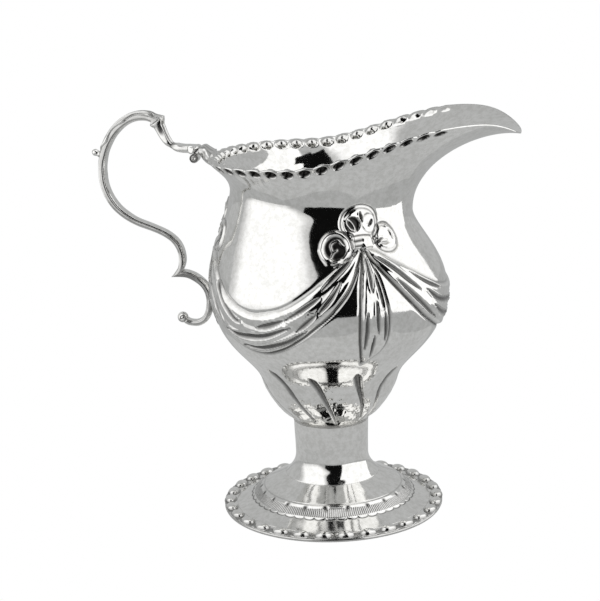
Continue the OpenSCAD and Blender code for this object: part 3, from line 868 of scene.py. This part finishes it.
def build_handle():
    strap = Strap(MAIN, -1, [1.2, 1.25, 1.2, 1.0, 1.1], [2.3, 2.3, 2.3, 2.1, 2.1], 0.4, CROWN_CUT, SPUR_CUT)

    def worked(t, turn):
        aside = np.abs(np.sin(turn))
        outer = np.cos(turn)
        h = 0.05 * waviness(t * 120, turn * 1.5, 7, 21)
        line = bell(np.degrees(np.abs(turn % math.pi - math.pi / 2)) - 24, 7) * (t > 0.3)
        h -= 0.16 * line * ease((t - 0.3) * 12) * ease((0.97 - t) * 20)
        dark = 0.22 * line * ease((t - 0.3) * 12) * (outer > 0)
        # painted shade darkens the side faces
        dark = np.maximum(dark, 0.36 * ease((aside - 0.8) * 6))
        spur = ease((t - 0.93) * 14)
        h -= 0.5 * spur * bell(np.cos(turn) + 1, 0.35)
        return h, np.maximum(dark, 0.55 * spur * (outer < -0.4))

    points, dark = strap.rings(40, worked)
    tube("handle_main_scroll", points, dark, "handle_scroll", CAST, side=-1, dome=0.5)

    # the acanthus leaf wraps the outer half of the scroll, veined, with a wavy edge
    reach = 0.311
    stations = np.where(strap.t <= reach)[0]
    share = strap.t[stations] / reach
    cols = 57
    lift = np.linspace(-1, 1, cols)
    ss, ll = np.meshgrid(share, lift, indexing="ij")
    index = np.broadcast_to(stations[:, None], ss.shape)
    spread = np.radians(78 + 12 * np.sin(ss * 17) * ease(ss * 3) - 58 * ease((ss - 0.82) / 0.18))
    angle = ll * spread
    inner = strap.point(index, angle, -0.12 + 0 * angle)
    thick = LEAF_T * (1.1 - 0.55 * ss) * mix(0.2, 1, ease(ss * 7))
    veins = np.zeros(ss.shape)
    ink = np.zeros(ss.shape)
    # each vein's place across the leaf, and where it starts and stops along it
    lines = (0.0, 0.0, 0.97), (0.3, 0.05, 0.72), (0.62, 0.0, 0.8), (0.84, 0.12, 0.5)
    for k, (at, start, stop) in enumerate(lines):
        live = ease((ss - start) * 14) * ease((stop - ss) * 9)
        d = np.abs(np.abs(ll) - at - 0.05 * np.sin(ss * 9 + k)) * 2.3 * 1.5
        veins += live * bell(d, 0.27)
        ink = np.maximum(ink, live * bell(d, 0.24))
    curl = bell((ss - 0.03) * 34, 0.9)
    edge = ease((1 - np.abs(ll)) * 6) * ease((1 - ss) * 12)
    grow = thick * mix(0.25, 1, edge) + 0.1 * curl + 0.12 * np.cos(ll * 9) * edge - 0.42 * veins * edge
    outer = strap.point(index, angle, grow)
    # the outer face is dark in the veins from oxide, and along its rim and tip with a painted shadow under
    # the leaf's edge
    tone = np.concatenate([0 * ink.ravel(), (0.85 * ink + 0.5 * bell(edge, 0.2)).ravel()])
    recalc(piece("handle_acanthus_leaf", np.vstack([inner.reshape(-1, 3), outer.reshape(-1, 3)]),
                 sheet_faces(*ss.shape), "handle_leaf", CAST, tone))

    # a pointed bud for the thumb, standing off the back of the scroll
    at = stations[-1] + 2
    root = strap.path[at] + strap.half[at]
    away = unit(strap.half[at] * 0.9 + np.array([-0.2, 0.2]))
    side = np.array([-away[1], away[0]])
    profile = [(1.0, -0.5), (0.95, 0.3), (0.8, 0.7), (0.95, 1.3),
               (1.0, 1.8), (0.75, 2.3), (0.35, 2.6), (0.1, 2.7)]
    turn = circle(32)
    rings = np.array([[
        [root[0] + away[0] * z + side[0] * r * math.cos(a) * (1 + 0.08 * math.cos(4 * a)), r * math.sin(a),
         root[1] + away[1] * z + side[1] * r * math.cos(a) * (1 + 0.08 * math.cos(4 * a))]
        for a in turn] for r, z in even(profile, 0.08)])
    dark = np.zeros(rings.shape[:2])
    dark[4:10] = 0.5
    recalc(tube("handle_thumb_bud", rings, dark, "thumb_bud", CAST, dome=0.05))

    bracket = Strap(BRACKET, 1, [1.9, 1.3, 1.3], [2.3, 2.2, 2.2], 0.2, CROWN_CUT, None)

    def faceted(t, turn):
        """Hollow facets parted by a ridge down the middle of the front face."""
        front = np.cos(turn)
        aside = np.abs(np.sin(turn))
        h = -0.75 * bell(aside - 0.5, 0.32) * (front > 0) * ease(t * 8) * ease((0.72 - t) * 6)
        h -= 0.4 * bell(front, 0.55) * bell(t - 0.25, 0.17)
        h -= 0.35 * bell(t - 0.62, 0.08)
        dark = 0.85 * bell(aside - 0.5, 0.26) * (front > 0) * ease(t * 8) * ease((0.75 - t) * 6)
        dark = np.maximum(dark, 0.75 * bell(front, 0.35) * bell(t - 0.22, 0.1))
        return h, np.maximum(dark, 0.5 * bell(t - 0.62, 0.05))

    points, dark = bracket.rings(48, faceted)
    recalc(tube("handle_bracket_scroll", points, dark, "handle_bracket", CAST, dome=0.1))

    collar = Strap(COLLAR, 1, [1.3, 1.2, 1.3], [2.4, 3.0, 2.7], 0.1)

    def folded(t, turn):
        slant = t - 0.3 * np.cos(turn)
        h = 0.3 * bell(slant - 0.5, 0.25) - 0.3 * bell(slant - 0.82, 0.12)
        h += 0.07 * np.cos(turn * 9) * ease(t * 4) * ease((1 - t) * 4)
        # the dark line along the groove under the fold is a painted shadow
        return h, 0.95 * bell(slant - 0.82, 0.12)

    points, dark = collar.rings(64, folded)
    recalc(tube("bracket_rolled_collar", points, dark, "bracket_collar", CAST, dome=0.05))

    # the small volute rolled up under the bracket
    low, high = bottom_of("bracket_volute"), top_of("bracket_volute")
    centre = np.array([(low.x + high.x) / 2, low.z + (high.x - low.x) / 2])
    radius, half_w = (high.x - low.x) / 2, (high.y - low.y) / 2
    profile = [(0.25, -half_w + 0.35), (0.5, -half_w + 0.05), (0.7, -half_w + 0.3),
               (radius * 0.78, -half_w + 0.32), (radius * 0.9, -half_w), (radius, -half_w + 0.3),
               (radius * 0.97, 0)]
    profile = profile + [(r, -y) for r, y in profile[-2::-1]]
    turn = circle(48)
    spine = even(profile, 0.1)
    rings = np.array([[[centre[0] + r * math.cos(a), y, centre[1] + r * math.sin(a)] for a in turn]
                      for r, y in spine])
    dark = np.zeros(rings.shape[:2]) + (0.9 * bell(spine[:, 0] - radius * 0.72, 0.28)
                                        * (np.abs(spine[:, 1]) > half_w - 0.6))[:, None]
    recalc(tube("bracket_small_volute", rings, dark, "bracket_volute", CAST))

    # the pad spreads from the collar onto the rim, with faint rays
    wall_line = body_sides(np.array([180.0]))[0]
    rings, tones = [], []
    for t in np.linspace(0, 1, 40):
        turn = circle(72)
        half_y, half_z = mix(2.7, 6.0, ease(t * 1.05)), mix(1.3, 2.8, ease(t * 2.2))
        dz = half_z * np.sign(np.cos(turn)) * np.abs(np.cos(turn)) ** 0.85
        dy = half_y * np.sign(np.sin(turn)) * np.abs(np.sin(turn)) ** 0.85
        z = mix(112.3, 109.6, ease(t)) + dz
        skin = np.interp(z, wall_line[:, 1], wall_line[:, 0])
        over = 1.2 * ease((z - 110.8) / 2)
        x = mix(-37.4, -skin + 0.2 + over + (dy / 6) ** 2 * 0.5, t)
        rays = 0.045 * np.cos(turn * 12) * ease(t * 3) * ease((1.05 - t) * 4)
        lattice = 0.05 * waviness(dy, z + 3 * t, 1.6, 33) * ease(t * 3)
        rings.append(np.stack([x - rays - lattice, dy, z], -1))
        tones.append(np.clip(0.25 - 4 * (rays + lattice), 0, 0.85))
    recalc(tube("rim_leaf_pad", np.array(rings), np.array(tones), "rim_pad", CAST))

    lower = Strap(LOWER, 1, [1.1, 1.2, 1.15, 1.1, 1.0, 0.95], [2.1, 2.0, 1.9, 1.8, 1.7], 0.3,
                  (-SPUR_CUT[0], -SPUR_CUT[1]), None)

    def edged(t, turn):
        lines = bell(np.degrees(np.abs(turn % math.pi - math.pi / 2)) - 30, 8)
        h = -0.14 * lines * ease(t * 10) + 0.03 * waviness(t * 60, turn, 6, 23)
        # painted shade darkens the side faces; the first third is darkened too, on all but its outer face
        side_face = 0.3 * ease((np.abs(np.sin(turn)) - 0.8) * 6)
        side_face = np.maximum(side_face, 0.6 * ease((0.36 - t) * 6) * (np.cos(turn) < 0.6))
        return h, np.maximum(0.75 * lines * (np.cos(turn) < 0) * ease(t * 10), side_face)

    points, dark = lower.rings(40, edged)
    recalc(tube("handle_lower_scroll", points, dark, "lower_scroll", CAST, dome=0.2))

    # the end rolls up into a small ball, the roll's edge winding round it
    low, high = bottom_of("scroll_ball"), top_of("scroll_ball")
    middle = (low + high) / 2
    radius = (high.y - low.y) / 2
    lat = np.linspace(-math.pi / 2, math.pi / 2, 61)[1:-1]
    lon = circle(96)
    la, lo = np.meshgrid(lat, lon, indexing="ij")
    wind = np.abs(((np.abs(la) * 1.6 - lo / 2 / math.pi * 1.0) % 1) - 0.5) * 2
    side_face = ease((np.abs(np.sin(la)) - 0.25) * 3)
    r = radius * (1 - 0.13 * bell(wind, 0.28) * side_face)
    rings = np.stack([middle.x + r * np.cos(la) * np.cos(lo), middle.y + r * np.sin(la) * 0.95,
                      middle.z + r * np.cos(la) * np.sin(lo)], -1)
    dark = 0.9 * bell(wind, 0.25) * side_face
    recalc(tube("lower_scroll_ball", rings, dark, "scroll_ball", CAST))

    # solder between the lower scroll and the belly
    low, high = bottom_of("lower_solder"), top_of("lower_solder")
    rows, cols = 26, 26
    a, b = np.meshgrid(np.linspace(-1, 1, rows), np.linspace(-1, 1, cols), indexing="ij")
    shape = np.sqrt(np.clip(1 - 0.94 * b ** 2, 0, 1))
    y = a * shape * (high.y - low.y) / 2
    z = (low.z + high.z) / 2 + b * (high.z - low.z) / 2
    sides = body_sides(np.array([180.0]))[0]
    skin = np.interp(z, sides[:, 1], sides[:, 0])
    x_in = -np.sqrt(np.clip(skin ** 2 - y ** 2, 1, None)) + 0.1
    proud = mix(0.35, 1.1, ((z - low.z) / (high.z - low.z) * 2 - 1) ** 2)
    x_out = x_in - proud * (1 - a ** 4) * (1 - 0.8 * b ** 6) - 0.06 * waviness(y * 3, z * 3, 4, 31)
    base = np.stack([x_in, y, z], -1).reshape(-1, 3)
    top = np.stack([np.minimum(x_out, x_in - 0.02), y, z], -1).reshape(-1, 3)
    recalc(piece("lower_scroll_solder", np.vstack([base, top]), sheet_faces(rows, cols),
                 "lower_solder", SOLDER))


build_handle()

# ---- studio ----

# what the silver reflects, in linear light
WHITE = (1, 1, 1)
SKY = (0.49, 0.495, 0.495)
TABLE = (0.43, 0.435, 0.435)
NEAR_TABLE = (0.51, 0.515, 0.515)
BLACK = (0.004, 0.004, 0.004)
# half widths in metres: the floor, and the brighter patch of table round the foot
FLOOR_HALF, NEAR_HALF = 3.0, 0.10
# heights of the floor and of the two tables seen in reflections, just below the foot
FLOOR_Z, NEAR_Z, TABLE_Z = -0.0004, -0.0005, -0.0006
# the backdrop is a dome: its radius in metres, its lowest angle and its sweep, its rings and sides
DOME_R, DOME_LOW, DOME_SWEEP, DOME_RINGS, DOME_SIDES = 4, -4, 94, 8, 24
# cards: name, radius, first and last angle, low and high edge, colour, strength, soft edges
CARDS = (
    ("window_left", 0.228, -106, -188, 0.0, 1.0, WHITE, 1.2, True),
    ("window_right", 0.23, -56, 34, 0.0, 1.0, WHITE, 1.2, False),
    ("camera_opening", 0.23, -106, -56, 0.0, 0.55, BLACK, 1.0, False),
    ("dark_above", 0.227, -80, -38, 0.38, 0.60, BLACK, 1.0, False),
)


def stage_piece(name, verts, faces, colour, strength, seen, reflected):
    """A glowing card. strength is one number, or one for every corner."""
    mesh = bpy.data.meshes.new(name)
    mesh.from_pydata(verts, [], faces)
    mesh.update()
    glow = mesh.attributes.new("glow", "FLOAT", "POINT")
    glow.data.foreach_set("value", np.full(len(verts), strength, dtype=np.float32))
    mat = bpy.data.materials.new(name)
    mat.use_nodes = True
    nodes, links = mat.node_tree.nodes, mat.node_tree.links
    nodes.clear()
    out = nodes.new("ShaderNodeOutputMaterial")
    light = nodes.new("ShaderNodeEmission")
    level = nodes.new("ShaderNodeAttribute")
    level.attribute_name = "glow"
    light.inputs["Color"].default_value = (*colour, 1)
    links.new(level.outputs["Fac"], light.inputs["Strength"])
    links.new(light.outputs["Emission"], out.inputs["Surface"])
    mesh.materials.append(mat)
    obj = bpy.data.objects.new(name, mesh)
    bpy.context.scene.collection.objects.link(obj)
    obj.visible_camera = seen
    obj.visible_glossy = reflected
    obj.visible_diffuse = reflected
    obj.visible_shadow = False
    return obj


def plane(name, size, z, colour, strength, seen, reflected, centre=(0, 0)):
    x, y = centre
    return stage_piece(name, [(x - size, y - size, z), (x + size, y - size, z), (x + size, y + size, z),
                              (x - size, y + size, z)], [(0, 1, 2, 3)], colour, strength, seen, reflected)


def wrap(name, radius, first, last, low, high, colour, strength, soft=False):
    """An upright curved card round the object, seen only in reflections. Angles in degrees.
    A soft card fades towards its edges, and its first edge wanders."""
    across, up = np.meshgrid(np.linspace(0, 1, 33), np.linspace(0, 1, 41) ** 2, indexing="ij")
    z = mix(low, high, up)
    angle = mix(first, last, across)
    glow = np.full(z.shape, float(strength))
    if soft:
        wander = 14 * bell(z - 0.17, 0.08) - 12 * bell(z, 0.05)
        angle = angle + wander * (1 - across)
        glow *= mix(0.5, 1, ease(np.minimum(across, 1 - across) * 5)) * mix(0.7, 1, ease(z / 0.06))
    a = np.radians(angle)
    verts = np.stack([radius * np.cos(a), radius * np.sin(a), z], -1).reshape(-1, 3).tolist()
    return stage_piece(name, verts, grid_faces(*z.shape), colour, glow.ravel(), False, True)


def build_studio():
    plane("floor", FLOOR_HALF, FLOOR_Z, WHITE, 1.0, True, False)
    n = DOME_SIDES
    verts, faces = [], []
    for j in range(DOME_RINGS + 1):
        e = math.radians(DOME_LOW + DOME_SWEEP * j / DOME_RINGS)
        for i in range(n):
            a = 2 * math.pi * i / n
            verts.append((DOME_R * math.cos(e) * math.cos(a), DOME_R * math.cos(e) * math.sin(a),
                          DOME_R * math.sin(e)))
    for j in range(DOME_RINGS):
        for i in range(n):
            faces.append((j * n + i, j * n + (i + 1) % n, (j + 1) * n + (i + 1) % n, (j + 1) * n + i))
    stage_piece("backdrop", verts, faces, WHITE, 1.0, True, False)
    plane("table_reflection", FLOOR_HALF, TABLE_Z, TABLE, 1.0, False, True)
    plane("table_near", NEAR_HALF, NEAR_Z, NEAR_TABLE, 1.0, False, True)
    for name, radius, first, last, low, high, colour, strength, soft in CARDS:
        wrap(name, radius, first, last, low, high, colour, strength, soft)
    world = bpy.data.worlds.new("studio")
    bpy.context.scene.world = world
    world.use_nodes = True
    shade = world.node_tree.nodes["Background"]
    shade.inputs["Color"].default_value = (*SKY, 1)
    shade.inputs["Strength"].default_value = 1.0


build_studio()

# ---- camera: the photograph's viewing angle, from an assumed distance ----

# the focal length is in the unit of the picture's long side, and the sensor is in millimetres
LONG_SIDE = 601
FOCAL = 1542.7
SENSOR = 36.0
# where the eye is, in metres, and which way the camera's own axes point
EYE = (0.048083, -0.457480, 0.177109)
RIGHT = (0.992847, 0.114554, -0.033679)
UP = (0.005479, 0.238049, 0.971237)
BACK = (0.119277, -0.964474, 0.235719)


def build_camera():
    data = bpy.data.cameras.new("camera")
    data.sensor_width = SENSOR
    data.lens = FOCAL * SENSOR / LONG_SIDE
    data.clip_start = 0.01
    data.clip_end = 20
    cam = bpy.data.objects.new("camera", data)
    bpy.context.scene.collection.objects.link(cam)
    cam.matrix_world = Matrix([
        (RIGHT[0], UP[0], BACK[0], EYE[0]),
        (RIGHT[1], UP[1], BACK[1], EYE[1]),
        (RIGHT[2], UP[2], BACK[2], EYE[2]),
        (0, 0, 0, 1),
    ])
    bpy.context.scene.camera = cam
    bpy.context.scene.view_settings.view_transform = "Standard"


build_camera()
